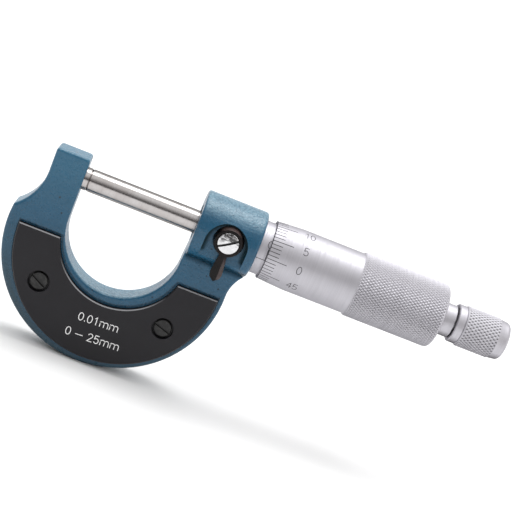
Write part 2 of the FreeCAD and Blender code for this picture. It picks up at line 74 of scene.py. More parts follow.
# Clearance of pieces that turn or seat on each other, and of the ratchet's neck in the thimble
RUNNING = 0.03
NECK_FIT = 0.02

# Thimble outside. BLEND_DROPS are how far the blend lies below the plain barrel where it starts
# and at the taper's end; GRIP_LAND is a length along the barrel and a step in radius
SLEEVE_R = SLEEVE_HIGH.z
THIMBLE_EDGE = THIMBLE_LOW.x
THIMBLE_EDGE_R = 8.45
EDGE_BREAK = 0.06
THIMBLE_TAPER = 7.6
THIMBLE_R = 9.0
TAPER_BLEND = 0.4
BLEND_DROPS = (0.035, 0.008)
GRIP_R = THIMBLE_HIGH.z
GRIP_END = THIMBLE_HIGH.x
GRIP_LENGTH = 26.2
GRIP_START = GRIP_END - GRIP_LENGTH
GRIP_LAND = (0.1, 0.02)
GRIP_LEAD = 0.4
GRIP_ROUND = 1.3

# Thimble inside, from the sleeve's bore to the spindle's cone and the neck's seat; the mouth is
# the depth and width of its chamfer
THIMBLE_BORE_R = SLEEVE_R + 0.1
WALL_START = 93.0
TAIL_R = 3.1
CONE_START = 95.0
CONE_R = 2.6
CONE_LAND = 0.2
NECK_SEAT = 102.8
NECK_MOUTH = (0.12, 0.3)

# Ratchet cap outside; the groove behind the collar is half a width and a depth
COLLAR_R = 5.6
COLLAR_BEVEL = 0.25
COLLAR_END = CAP_LOW.x + 2.3
COLLAR_GROOVE = (0.08, 0.12)
CAP_GRIP_START = COLLAR_END + 0.2
CAP_GRIP_LOW_R = COLLAR_R + 0.1
CAP_GRIP_END = CAP_HIGH.x - 3.2
CAP_GRIP_LEAD = 0.4
CAP_GRIP_ROUND = 0.3
CAP_SHOULDER_R = CAP_HIGH.z - 0.2
CAP_END_R = CAP_SHOULDER_R - 0.25
CAP_ROUND = 1.2
ROUND_STEPS = 6

# Ratchet cap inside
CAP_RECESS = 2.73
CAP_RECESS_R = 3.3
RECESS_BREAK = 0.15
CAP_SKIRT = 0.45
CAP_CAVITY_R = 4.4
AXLE_R = 2.0
TEETH = 12
TOOTH_DEPTH = 0.6
TOOTH_INNER_R = 2.4
TOOTH_FOOT = 0.05
TOOTH_PHASE = 0.5

# Knurls: cells round the barrel, axial pitch, groove depth and how much painted shade the cuts get
GRIP_KNURL = (66, 1.44, 0.25, 0.6)
CAP_KNURL = (36, 1.66, 0.34, 1.0)

# Points in a cell each way, a groove's depth from crest to bottom, and how deep a lone groove is
# beside a crossing
SAMPLES = 6
GROOVE_SHAPE = (0.0, 0.2, 0.62, 1.0)
PIT_SHALLOW = 0.25

# Least depth of a knurl at its ends, the share of the end's round over which it fades, and the
# angle in degrees from which an edge stays sharp
LEAST_SHARE = 0.05
FADE_LENGTH = 0.6
SHARP_ANGLE = 28

# Scales: places of the datum line and the thimble's zero in degrees upwards from the front, the
# number of divisions and of millimetres, and the sleeve's zero line from the thimble's edge
DATUM_ANGLE = -9.3
ZERO_ANGLE = -0.4
DIVISIONS = 50
NUMBERED_EVERY = 5
TRAVEL = 25
READING_OFFSET = -0.1

# Lines and numerals of the thimble; the rim line is its distance from the edge and its width
LINE_WIDTH = 0.17
RIM_LINE = (0.1, 0.15)
LINE_INSET = 0.03
SHORT_LINE = 3.2
LONG_LINE = 6.0
NUMERAL_HEIGHT = 2.25
NUMERAL_OFFSET = 9.7

# Lines and numerals of the sleeve
SLEEVE_SHORT = 2.0
SLEEVE_LONG = 3.3
HALF_MILLIMETRE = 0.5
DATUM_OVERRUN = 1.5
SLEEVE_NUMERAL = 2.1
SLEEVE_NUMERAL_RISE = SLEEVE_LONG + 1.35

# Engraved strokes: width, how much of half a width they run past their ends, the most a corner is
# drawn out, the step from digit to digit as a share of their height, the longest straight length
# round a barrel, and how far the filling stands above and reaches below the surface
STROKE = 0.17
END_ROUND = 0.6
MITRE_LIMIT = 2.0
DIGIT_ADVANCE = 0.74
ARC_STEP = 0.4
INK_PROUD = 0.012
INK_DEEP = 0.05

# Lettering on the front plate: centre X and Z of the first figure, and its height; then the slope
# in degrees, the stroke, and the widths of signs as shares of the height
DIVISION_TEXT = (11.37, -36.3, 2.25)
RANGE_TEXT = (9.4, -41.57, 2.3)
LETTER_SLOPE = 2.4
LETTER_STROKE = 0.23
DIGIT_WIDTH = 0.82
OTHER_WIDTHS = {".": 0.33, " ": 0.44, "m": 1.29, "-": 1.1}

# Line under the hub, front and back, darkened with painted shade: its left end, distance from
# the middle and height; the length over which it starts; and its reach at full and at no strength
CREASE = (31.8, 4.9, -8.0)
CREASE_START = 0.5
CREASE_REACH = (1.1, 2.3)

# Lever's pocket: centre X and Z and half width; how far inside its wall the painted shade at
# its foot starts and is full; how far it laps the wall; and the heights where it dies out down the legs
POCKET = (41.1, -1.1, 6.1)
POCKET_SHADE_SPAN = (1.5, 0.6)
POCKET_OVERLAP = 0.02
POCKET_LEGS = (-5.4, -4.4)

# Outside of the bow: centre X and Z and radius, the darker, greyer band across it, and its heights
BOW_RIM = (15.75, -18.2, 29.6)
RIM_BAND = (-0.5, 1.5)
RIM_HEIGHTS = (-38.0, -12.0)

# Painted light on the anvil post, paler higher up: the X it fades out over, and the heights it fades in
# over
POST_FADE = (0.0, 6.0)
POST_HEIGHTS = (-12.0, 2.0)

# Lever: heights where its arm meets the boss, and the distance from its middle of the side with painted
# highlight
ARM_HEIGHTS = (-4.8, -4.0)
ARM_LIT_SIDE = (0.35, 0.65)

# Lock screw: heights where the painted dark reflections fade in, and depth below the crown where the
# slot has painted shade
REFLECTION_HEIGHTS = (-0.4, 0.8)
SLOT_SHADE = 0.47

# Length at the end of the grip over which the painted shade on the ratchet's underside begins
RATCHET_FADE = 1.0

# How a metal's reflection falls off where it is seen edge on
EDGE_TINT = (0.2, 0.2, 0.2, 1.0)

# Enamel of the frame
ENAMEL = (0.009, 0.086, 0.163)
ENAMEL_CLOUD = (0.007, 0.064, 0.124)
ENAMEL_SPECK = (0.005, 0.045, 0.080)
ENAMEL_RIM_GREY = (0.020, 0.042, 0.052)
# Painted highlight on the enamel's upward faces
ENAMEL_TOP_HIGHLIGHT = (0.22, 0.38, 0.47)
# Painted light on the anvil post
ENAMEL_POST_LIGHT = (0.028, 0.135, 0.225)
# Painted shade in the crease under the hub
ENAMEL_CREASE_SHADE = (0.004, 0.028, 0.052)
# Painted shade round the foot of the lever pocket's wall
ENAMEL_POCKET_SHADE = (0.003, 0.024, 0.034)
ENAMEL_PIT = (0.004, 0.012, 0.020)

# Moulded plates, lever and blackened screws
PLASTIC = (0.0125, 0.0118, 0.0145)
PLASTIC_CLOUD = (0.0165, 0.016, 0.019)
# Painted highlight on the plates' upward bevel
PLASTIC_BEVEL_HIGHLIGHT = (0.30, 0.30, 0.31)
LEVER_PAINT = (0.005, 0.0035, 0.0035)
# Painted highlight on the right side of the lever's arm and on its boss's top
LEVER_HIGHLIGHT = (0.072, 0.050, 0.047)
LEVER_CLOUD = (0.014, 0.009, 0.0085)
BLACKENED = (0.006, 0.006, 0.006)
BLACKENED_WORN = (0.035, 0.034, 0.033)

# Spindle and anvil
GROUND = (0.50, 0.48, 0.475)
GROUND_SHADE = (0.42, 0.39, 0.38)
GROUND_STREAK = (0.30, 0.28, 0.275)
GROUND_BROWN = (0.36, 0.32, 0.30)
# Painted shade on the upward faces of the spindle and anvil
GROUND_TOP_SHADE = (0.27, 0.26, 0.255)

# Sleeve, thimble and ratchet
CHROME = (0.54, 0.53, 0.565)
CHROME_SHADE = (0.50, 0.49, 0.525)
# Painted highlight on the knurls' upper facets
KNURL_TOP_HIGHLIGHT = (0.70, 0.69, 0.73)
# Painted shade in the knurls' cuts
CHROME_CUT_SHADE = (0.09, 0.09, 0.095)
# Painted shade on the underside of the grip's knurl
GRIP_UNDERSIDE_SHADE = (0.34, 0.335, 0.36)
# Painted shade on the ratchet's underside
RATCHET_UNDERSIDE_SHADE = (0.16, 0.155, 0.165)

# Lock screw
BRIGHT = (0.68, 0.68, 0.69)
# Painted dark reflection in patches on the screw head's upper half
BRIGHT_DARK_REFLECTION = (0.06, 0.06, 0.06)
# Painted shade inside the screw's slot
SLOT_SHADOW = (0.03, 0.03, 0.03)

# Pieces inside
TURNED = (0.48, 0.48, 0.50)
TURNED_SHADE = (0.42, 0.42, 0.43)
WIRE = (0.42, 0.42, 0.44)
WIRE_SHADE = (0.33, 0.32, 0.32)
BRONZE = (0.60, 0.42, 0.22)
BRONZE_SHADE = (0.46, 0.31, 0.16)

# Fillings of the graduations and lettering
BLACK_FILLING = (0.012, 0.012, 0.014)
WHITE_FILLING = (0.95, 0.95, 0.95)

# Camera; its lens is in millimetres on the usual sensor, its clipping in metres
CAMERA_AT = Vector((15.37, -362.7, 93.8)) * MM
CAMERA_TARGET = Vector((50.71, 0.0, -2.957)) * MM
CAMERA_UP = Vector((-0.40386, 0.0, 1.0))
CAMERA_LENS = 94.49
CAMERA_CLIP = (0.01, 80.0)

# Floor: half its side, and its colours
FLOOR_HALF = 40000
PAPER = (0.90, 0.90, 0.90)
PAPER_CLOUD = (0.88, 0.88, 0.885)

# Room: where each blend starts and ends on a unit direction, and the colours it blends
SIDE_EDGE = (0.25, 0.85)
FRONT_EDGE = (-0.35, 0.15)
CEILING_EDGE = (0.15, 0.95)
ROOM_CEILING = (1.2, 1.2, 1.2, 1.0)
ROOM_BACK = (1.15, 1.15, 1.15, 1.0)
ROOM_FRONT = (0.09, 0.083, 0.083, 1.0)
ROOM_SIDE = (1.0, 0.95, 0.92, 1.0)

# Key light: the direction it comes from, how wide it looks in degrees, and its strength
KEY_FROM = Vector((0.05, 0.14, 1.0))
KEY_ANGLE = 30.0
KEY_STRENGTH = 1.45


# ---------------------------------------------------------------- meshes

def new_object(name, mesh, material, body):
    """A piece that rides a body, with one material."""
    obj = bpy.data.objects.new(name, mesh)
    bpy.context.scene.collection.objects.link(obj)
    mesh.materials.append(material)
    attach(obj, body)
    return obj


def mesh_from(name, points, faces):
    """Mesh in metres from points in millimetres, with outward normals."""
    mesh = bpy.data.meshes.new(name)
    mesh.from_pydata([tuple(c * MM for c in p) for p in points], [], faces)
    made = bmesh.new()
    made.from_mesh(mesh)
    bmesh.ops.recalc_face_normals(made, faces=made.faces)
    made.to_mesh(mesh)
    made.free()
    mesh.validate()
    return mesh


def smooth_by_angle(mesh, degrees):
    """Smooth faces, with edges sharper than the angle kept sharp."""
    made = bmesh.new()
    made.from_mesh(mesh)
    for face in made.faces:
        face.smooth = True
    for edge in made.edges:
        if len(edge.link_faces) == 2:
            edge.smooth = edge.calc_face_angle(0) < math.radians(degrees)
    made.to_mesh(mesh)
    made.free()


def on_barrel(x, radius, angle):
    """Point at an angle in degrees, measured upwards from the front."""
    a = math.radians(angle)
    return (x, -radius * math.cos(a), radius * math.sin(a))


def groove(step):
    """Depth share of one family of knurl grooves, counted in samples from a crest."""
    return GROOVE_SHAPE[abs((step % SAMPLES) - SAMPLES // 2)]


def diamonds(i, j):
    """Depth share of a knurl of raised diamonds."""
    return max(groove(i + j), groove(j - i))


def pits(i, j):
    """Depth share of a knurl that is deepest where its grooves cross."""
    one, other = groove(i + j), groove(j - i)
    return PIT_SHALLOW * max(one, other) + (1 - PIT_SHALLOW) * one * other


def barrel(name, stations, knurl, cut, teeth):
    """Closed barrel from (x, radius, knurl share, tooth depth) stations."""
    cells, pitch, depth, shade_share = knurl
    around = cells * SAMPLES
    steps = [round(x / pitch * SAMPLES) for x, _, _, _ in stations]
    points, cut_shade, rough = [], [], []
    for (x, radius, share, tooth), i in zip(stations, steps):
        for j in range(around):
            saw = tooth * ((j * teeth / around + TOOTH_PHASE) % 1.0)
            points.append(on_barrel(x + saw, radius - depth * share * cut(i, j), 360 * j / around))
            # Painted shade in the knurl's cuts, deepest where they cross
            cut_shade.append(shade_share * share * pits(i, j))
            rough.append(share)
    faces = []
    for row, i in enumerate(steps):
        after = (row + 1) % len(stations)
        knurled = stations[row][2] and stations[after][2]
        for j in range(around):
            k = (j + 1) % around
            a, b, c, d = row * around + j, after * around + j, after * around + k, row * around + k
            if not knurled:
                faces.append((a, b, c, d))
            elif groove(i + j + 1) >= groove(j - i):
                faces += [(a, b, d), (b, c, d)]
            else:
                faces += [(a, b, c), (a, c, d)]
    mesh = mesh_from(name, points, faces)
    for label, values in (("cut_shade", cut_shade), ("knurl", rough)):
        mesh.attributes.new(label, "FLOAT", "POINT").data.foreach_set("value", values)
    return mesh


def knurl_stations(span, radii, knurl, lead, round_off):
    """Stations over a knurled band that rises over a lead-in and ends rounded."""
    start, end = span
    low_radius, radius = radii
    _, pitch, _, _ = knurl
    step = pitch / SAMPLES
    stations = []
    for index in range(math.ceil(start / step), math.ceil(end / step)):
        x = index * step
        rise = min(1.0, (x - start) / lead)
        fall = max(0.0, (x - end + round_off) / round_off)
        drop = (1 - rise) * (radius - low_radius) + round_off * (1 - math.sqrt(1 - fall ** 2))
        share = max(LEAST_SHARE, min(1.0, rise, (end - x) / (FADE_LENGTH * round_off)))
        stations.append((x, radius - drop, share, 0))
    return stations


# ---------------------------------------------------------------- materials

class Finish:
    """A Principled material in the making, patterned in the piece's own coordinates."""

    def __init__(self, name, color, roughness, metallic=0.0, specular=0.5):
        self.material = bpy.data.materials.new(name)
        self.material.use_nodes = True
        self.nodes = self.material.node_tree.nodes
        self.links = self.material.node_tree.links
        self.shader = self.nodes["Principled BSDF"]
        self.place = self.nodes.new("ShaderNodeTexCoord").outputs["Object"]
        self.normal = None
        self.color = (*color, 1.0)
        self.shader.inputs["Base Color"].default_value = self.color
        self.shader.inputs["Roughness"].default_value = roughness
        self.shader.inputs["Metallic"].default_value = metallic
        self.shader.inputs["Specular IOR Level"].default_value = specular
        if metallic:
            self.shader.inputs["Specular Tint"].default_value = EDGE_TINT

    def scaled(self, per_mm):
        """Object coordinates in cells per millimetre: one number, or one each along X, Y and Z."""
        mapping = self.nodes.new("ShaderNodeMapping")
        counts = (per_mm,) * 3 if isinstance(per_mm, float) else per_mm
        mapping.inputs["Scale"].default_value = [count / MM for count in counts]
        self.links.new(self.place, mapping.inputs["Vector"])
        return mapping.outputs["Vector"]

    def noise(self, per_mm, detail=3.0, rough=0.5):
        """Soft noise from 0 to 1, with a number of finer layers and how strong they are."""
        node = self.nodes.new("ShaderNodeTexNoise")
        node.inputs["Scale"].default_value = 1.0
        node.inputs["Detail"].default_value = detail
        node.inputs["Roughness"].default_value = rough
        self.links.new(self.scaled(per_mm), node.inputs["Vector"])
        return node.outputs["Fac"]

    def cells(self, per_mm):
        """Distance to the nearest of scattered points, in cells."""
        node = self.nodes.new("ShaderNodeTexVoronoi")
        node.inputs["Scale"].default_value = 1.0
        self.links.new(self.scaled(per_mm), node.inputs["Vector"])
        return node.outputs["Distance"]

    def spread(self, value, low, high, to_low=0.0, to_high=1.0):
        """Map a value from one range to another, clamped."""
        node = self.nodes.new("ShaderNodeMapRange")
        for index, number in enumerate((low, high, to_low, to_high)):
            node.inputs[index + 1].default_value = number
        self.links.new(value, node.inputs["Value"])
        return node.outputs["Result"]

    def attribute(self, label):
        """A value stored on the mesh, or 0 where a mesh has none."""
        node = self.nodes.new("ShaderNodeAttribute")
        node.attribute_name = label
        return node.outputs["Fac"]

    def math(self, operation, first, second=0.0):
        """Arithmetic on sockets or plain numbers."""
        node = self.nodes.new("ShaderNodeMath")
        node.operation = operation
        for socket, value in zip(node.inputs, (first, second)):
            if isinstance(value, float):
                socket.default_value = value
            else:
                self.links.new(value, socket)
        return node.outputs[0]

    def separated(self, vector):
        """The X, Y and Z of a vector."""
        node = self.nodes.new("ShaderNodeSeparateXYZ")
        self.links.new(vector, node.inputs[0])
        return node.outputs

    def millimetres(self):
        """The piece's own X, Y and Z."""
        return list(self.separated(self.scaled(1.0)))

    def distance(self, first, second):
        """Length of the diagonal over two right-angled distances."""
        squares = [self.math("MULTIPLY", side, side) for side in (first, second)]
        return self.math("SQRT", self.math("ADD", *squares))

    def facing(self, low, high):
        """1 on a face whose normal has a share of Y, either way, between low and high."""
        geometry = self.nodes.new("ShaderNodeNewGeometry")
        share = self.math("ABSOLUTE", self.separated(geometry.outputs["True Normal"])["Y"])
        above = self.math("GREATER_THAN", share, low)
        return self.math("MULTIPLY", above, self.math("LESS_THAN", share, high))

    def upward(self, low, high):
        """0 to 1 as a face's upward share goes from low to high."""
        geometry = self.nodes.new("ShaderNodeNewGeometry")
        rise = self.separated(geometry.outputs["True Normal"])["Z"]
        return self.spread(rise, low, high)

    def tint(self, share, color):
        """Blend the base colour towards another by a 0 to 1 share."""
        node = self.nodes.new("ShaderNodeMix")
        node.data_type = "RGBA"
        self.links.new(share, node.inputs["Factor"])
        base = self.shader.inputs["Base Color"]
        if base.is_linked:
            self.links.new(base.links[0].from_socket, node.inputs[6])
        else:
            node.inputs[6].default_value = self.color
        node.inputs[7].default_value = (*color, 1.0)
        self.links.new(node.outputs[2], base)

    def cloud(self, color, most, per_mm, edges, detail=3.0, rough=0.5):
        """Blend in a colour where noise goes from the lower edge to the higher."""
        noise = self.noise(per_mm, detail, rough)
        self.tint(self.spread(noise, *edges, 0.0, most), color)

    def roughen(self, value, low, high, smooth, rough):
        """Roughness between two values, as a pattern goes from low to high."""
        self.links.new(self.spread(value, low, high, smooth, rough), self.shader.inputs["Roughness"])

    def bump(self, height, depth_mm, invert=False):
        """Relief of a pattern, over any relief already there."""
        node = self.nodes.new("ShaderNodeBump")
        node.invert = invert
        node.inputs["Distance"].default_value = depth_mm * MM
        self.links.new(height, node.inputs["Height"])
        if self.normal:
            self.links.new(self.normal, node.inputs["Normal"])
        self.normal = node.outputs["Normal"]
        self.links.new(self.normal, self.shader.inputs["Normal"])


def pooled_in_crease(paint, x, y, z):
    """Share of painted shade along the line where the hub meets the web."""
    start, half_thick, height = CREASE
    across = paint.math("SUBTRACT", paint.math("ABSOLUTE", y), half_thick)
    away = paint.distance(across, paint.math("SUBTRACT", z, height))
    along = paint.spread(x, start, start + CREASE_START)
    return paint.math("MULTIPLY", along, paint.spread(away, *CREASE_REACH, 0.95, 0.0))


def pooled_in_pocket(paint, x, y, z):
    """Share of painted shade round the foot of the lever pocket's wall, dying out down its legs."""
    centre_x, centre_z, half = POCKET
    side = paint.math("SUBTRACT", x, centre_x)
    above = paint.math("MAXIMUM", paint.math("SUBTRACT", z, centre_z), 0.0)
    away = paint.distance(side, above)
    inner, outer = (half - depth for depth in POCKET_SHADE_SPAN)
    rim = paint.spread(away, inner, outer, 0.0, 0.95)
    inside = paint.math("MULTIPLY", rim, paint.math("LESS_THAN", away, half + POCKET_OVERLAP))
    front = paint.math("MULTIPLY", inside, paint.math("LESS_THAN", y, 0.0))
    return paint.math("MULTIPLY", front, paint.spread(z, *POCKET_LEGS))


def weathered_rim(paint, x, z):
    """Share round the outside of the bow, growing towards the bottom."""
    centre_x, centre_z, radius = BOW_RIM
    right, up = paint.math("SUBTRACT", x, centre_x), paint.math("SUBTRACT", z, centre_z)
    inner, outer = (radius + offset for offset in RIM_BAND)
    band = paint.spread(paint.distance(right, up), inner, outer, 0.0, 0.75)
    return paint.math("MULTIPLY", band, paint.spread(z, *RIM_HEIGHTS, 1.0, 0.0))


def teal_paint():
    """Stoved enamel over a casting: orange peel, cloudy tone, pits, a greyer band round the bow, a
    painted highlight on upward faces, painted light on the anvil post, and painted shade in the crease
    and the lever's pocket.
    """
    paint = Finish("teal_enamel", ENAMEL, 0.28)
    x, y, z = paint.millimetres()
    paint.cloud(ENAMEL_CLOUD, 0.6, 0.09, (0.35, 0.7))
    specks = paint.noise(1.6, 4.0, 0.6)
    paint.tint(paint.spread(specks, 0.5, 0.8, 0.0, 0.5), ENAMEL_SPECK)
    paint.tint(weathered_rim(paint, x, z), ENAMEL_RIM_GREY)
    # Painted highlight: paler, ragged enamel on faces that look up
    ragged_highlight = paint.math("MULTIPLY", paint.spread(specks, 0.35, 0.65, 1.5, 0.4), paint.upward(0.5, 0.78))
    paint.tint(paint.math("MULTIPLY", ragged_highlight, 0.48), ENAMEL_TOP_HIGHLIGHT)
    # Painted light: the anvil post paler higher up
    high_up = paint.spread(z, *POST_HEIGHTS, 0.0, 0.6)
    paint.tint(paint.math("MULTIPLY", paint.spread(x, *POST_FADE, 1.0, 0.0), high_up), ENAMEL_POST_LIGHT)
    # Painted shade along the crease under the hub, and round the foot of the lever pocket's wall
    crease, pocket = pooled_in_crease(paint, x, y, z), pooled_in_pocket(paint, x, y, z)
    paint.tint(crease, ENAMEL_CREASE_SHADE)
    # Painted shade round the foot of the lever pocket's wall
    paint.tint(pocket, ENAMEL_POCKET_SHADE)
    dull = paint.spread(paint.math("MAXIMUM", crease, pocket), 0.0, 1.0, 0.5, 0.1)
    paint.links.new(dull, paint.shader.inputs["Specular IOR Level"])
    pits = paint.spread(paint.cells(0.3), 0.05, 0.1, 1.0, 0.0)
    few = paint.spread(paint.noise(0.16, 1.0), 0.44, 0.5)
    pits = paint.math("MULTIPLY", pits, few)
    paint.tint(pits, ENAMEL_PIT)
    paint.roughen(paint.noise(0.6), 0.3, 0.7, 0.24, 0.38)
    paint.bump(paint.noise(2.4), 0.07)
    paint.bump(paint.noise(0.8, 4.0, 0.6), 0.2)
    paint.bump(pits, 0.05, invert=True)
    return paint.material


def charcoal_plastic():
    """Satin moulding with a fine grain, faint scuffs, a polished bevel and a painted highlight where
    the bevel faces up.
    """
    plastic = Finish("charcoal_moulding", PLASTIC, 0.42, specular=0.25)
    plastic.cloud(PLASTIC_CLOUD, 0.5, 0.12, (0.4, 0.7))
    bevel = plastic.facing(0.5, 0.9)
    # Painted highlight: paler colour on the bevel where it faces up
    plastic.tint(plastic.math("MULTIPLY", bevel, plastic.upward(0.35, 0.6)), PLASTIC_BEVEL_HIGHLIGHT)
    grain = plastic.spread(plastic.noise(2.0), 0.3, 0.7, 0.38, 0.48)
    polish = plastic.math("MULTIPLY", bevel, -0.2)
    plastic.links.new(plastic.math("ADD", grain, polish), plastic.shader.inputs["Roughness"])
    plastic.bump(plastic.noise(9.0, 2.0), 0.003)
    scuffs = plastic.spread(plastic.noise((0.25, 0.25, 5.0), 4.0, 0.7), 0.66, 0.72)
    plastic.bump(scuffs, 0.004, invert=True)
    return plastic.material


def turned(name, color, shade, roughness, line_depth, line_pitch=0.12):
    """Round metal with fine lines around the spindle axis and a slight cloudiness."""
    metal = Finish(name, color, roughness, metallic=1.0)
    metal.cloud(shade, 0.6, (0.35, 0.12, 0.12), (0.35, 0.7))
    lines = metal.noise((1 / line_pitch, 0.05, 0.05), 4.0, 0.65)
    metal.roughen(lines, 0.3, 0.7, 0.8 * roughness, 1.25 * roughness)
    metal.bump(lines, line_depth)
    metal.bump(metal.noise(2.6), 0.3 * line_depth)
    return metal


def ground_steel():
    """Finely ground round, streaked by the wheel, a little browned, and darker on top with painted
    shade.
    """
    metal = turned("ground_round", GROUND, GROUND_SHADE, 0.22, 0.003)
    metal.cloud(GROUND_STREAK, 0.4, (5.0, 0.15, 0.15), (0.5, 0.7), 4.0, 0.7)
    metal.cloud(GROUND_BROWN, 0.4, (0.25, 0.3, 0.3), (0.5, 0.75), 4.0)
    # Painted shade: darker on faces that look up
    metal.tint(metal.math("MULTIPLY", metal.upward(0.55, 0.8), 0.6), GROUND_TOP_SHADE)
    return metal.material


def satin_chrome():
    """Satin plate, duller on a knurl, with painted shade in its cuts and underneath and a painted
    highlight on the knurl's upper facets.
    """
    metal = turned("satin_chrome_plate", CHROME, CHROME_SHADE, 0.54, 0.0016)
    x = metal.millimetres()[0]
    # Painted shade on the ratchet's underside
    on_ratchet = metal.spread(x, GRIP_END - RATCHET_FADE, GRIP_END)
    underneath = metal.math("SUBTRACT", 1.0, metal.upward(-0.92, -0.45))
    metal.tint(metal.math("MULTIPLY", on_ratchet, underneath), RATCHET_UNDERSIDE_SHADE)
    knurl = metal.attribute("knurl")
    # Painted highlight: paler knurl on faces that look up
    metal.tint(metal.math("MULTIPLY", knurl, metal.upward(-0.5, 0.25)), KNURL_TOP_HIGHLIGHT)
    # Painted shade on the underside of the grip's knurl
    on_grip = metal.math("SUBTRACT", knurl, on_ratchet)
    underneath = metal.math("SUBTRACT", 1.0, metal.upward(-0.9, 0.2))
    metal.tint(metal.math("MULTIPLY", on_grip, underneath), GRIP_UNDERSIDE_SHADE)
    # Painted shade in the knurl's cuts
    metal.tint(metal.spread(metal.attribute("cut_shade"), 0.2, 0.95, 0.0, 0.92), CHROME_CUT_SHADE)
    plain = metal.shader.inputs["Roughness"].links[0].from_socket
    dull = metal.math("MULTIPLY", knurl, 0.16)
    metal.links.new(metal.math("ADD", plain, dull), metal.shader.inputs["Roughness"])
    return metal.material


def black_steel():
    """Blackened screw with brighter wear where a driver has rubbed."""
    metal = Finish("blackened_steel", BLACKENED, 0.4, specular=0.4)
    metal.cloud(BLACKENED_WORN, 0.8, 0.9, (0.5, 0.7), 4.0)
    metal.roughen(metal.noise(3.0), 0.3, 0.7, 0.28, 0.5)
    metal.bump(metal.noise(2.0), 0.05)
    return metal.material


def dark_lever():
    """Brown-black enamel, with a brown painted highlight on the right side of the arm and on the boss's
    top.
    """
    paint = Finish("dark_enamel", LEVER_PAINT, 0.32, specular=0.17)
    x, _, z = paint.millimetres()
    # Painted highlight on the arm's right side and on the boss's upward faces
    arm = paint.spread(z, *ARM_HEIGHTS, 1.0, 0.0)
    inner, outer = (LOCK_X + offset for offset in ARM_LIT_SIDE)
    lit_side = paint.math("MULTIPLY", arm, paint.spread(x, inner, outer, 0.0, 0.9))
    paint.tint(paint.math("MAXIMUM", lit_side, paint.upward(0.6, 0.9)), LEVER_HIGHLIGHT)
    paint.cloud(LEVER_CLOUD, 0.5, 0.7, (0.45, 0.75), 4.0)
    paint.roughen(paint.noise(1.4), 0.3, 0.7, 0.22, 0.4)
    paint.bump(paint.noise(1.8, 2.0), 0.04)
    return paint.material


def bright_screw():
    """Bright head with scratches one way, nicks, painted dark reflections in patches on its upper half,
    and painted shade in the slot.
    """
    metal = Finish("bright_scratched", BRIGHT, 0.16, metallic=1.0)
    _, y, z = metal.millimetres()
    # Painted dark reflections in patches on the head's upper half
    patches = metal.spread(metal.noise((0.5, 0.5, 1.1), 3.0, 0.6), 0.47, 0.55, 0.0, 0.88)
    upper = metal.spread(z, *REFLECTION_HEIGHTS, 0.1, 1.0)
    metal.tint(metal.math("MULTIPLY", patches, upper), BRIGHT_DARK_REFLECTION)
    # Painted shade inside the slot
    metal.tint(metal.math("GREATER_THAN", y, LOCK_SCREW_LOW.y + SLOT_SHADE), SLOT_SHADOW)
    metal.roughen(metal.noise(1.2, 4.0), 0.35, 0.65, 0.1, 0.3)
    metal.bump(metal.noise((0.5, 1.0, 4.0), 5.0, 0.7), 0.03)
    metal.bump(metal.spread(metal.cells(0.9), 0.05, 0.12), 0.03)
    return metal.material


def ink(name, color):
    """Filled engraving, slightly uneven."""
    paint = Finish(name, color, 0.6, specular=0.2)
    worn = [min(1.0, channel * 0.8 + 0.02) for channel in color]
    paint.cloud(worn, 0.7, 2.5, (0.45, 0.75))
    paint.bump(paint.noise(12.0), 0.004)
    return paint.material


def floor_paper():
    """Pale seamless paper with a faint grain."""
    paper = Finish("pale_paper", PAPER, 0.85, specular=0.1)
    paper.cloud(PAPER_CLOUD, 0.5, 0.02, (0.3, 0.7))
    paper.bump(paper.noise(1.5), 0.01)
    return paper.material


FINISHES = {
    "teal_paint": teal_paint(),
    "charcoal_plastic": charcoal_plastic(),
    "ground_steel": ground_steel(),
    "satin_chrome": satin_chrome(),
    "inner_steel": turned("turned_steel", TURNED, TURNED_SHADE, 0.3, 0.004, 0.2).material,
    "spring_steel": turned("drawn_wire", WIRE, WIRE_SHADE, 0.28, 0.002).material,
    "black_steel": black_steel(),
    "dark_lever": dark_lever(),
    "bright_screw": bright_screw(),
    "bronze": turned("turned_bronze", BRONZE, BRONZE_SHADE, 0.32, 0.003, 0.2).material,
}
BLACK_INK = ink("black_filling", BLACK_FILLING)
WHITE_INK = ink("white_lettering", WHITE_FILLING)


def finish_cad_nodes():
    """Give every CAD node the finish of its slot."""
    for node, slot_name in NODE_SLOTS.items():
        for slot in frame["nodes"][node].material_slots:
            slot.material = FINISHES[slot_name]


# ---------------------------------------------------------------- thimble and ratchet cap

def ring(*corners):
    """Plain stations from (x, radius) corners."""
    return [(x, radius, 0, 0) for x, radius in corners]


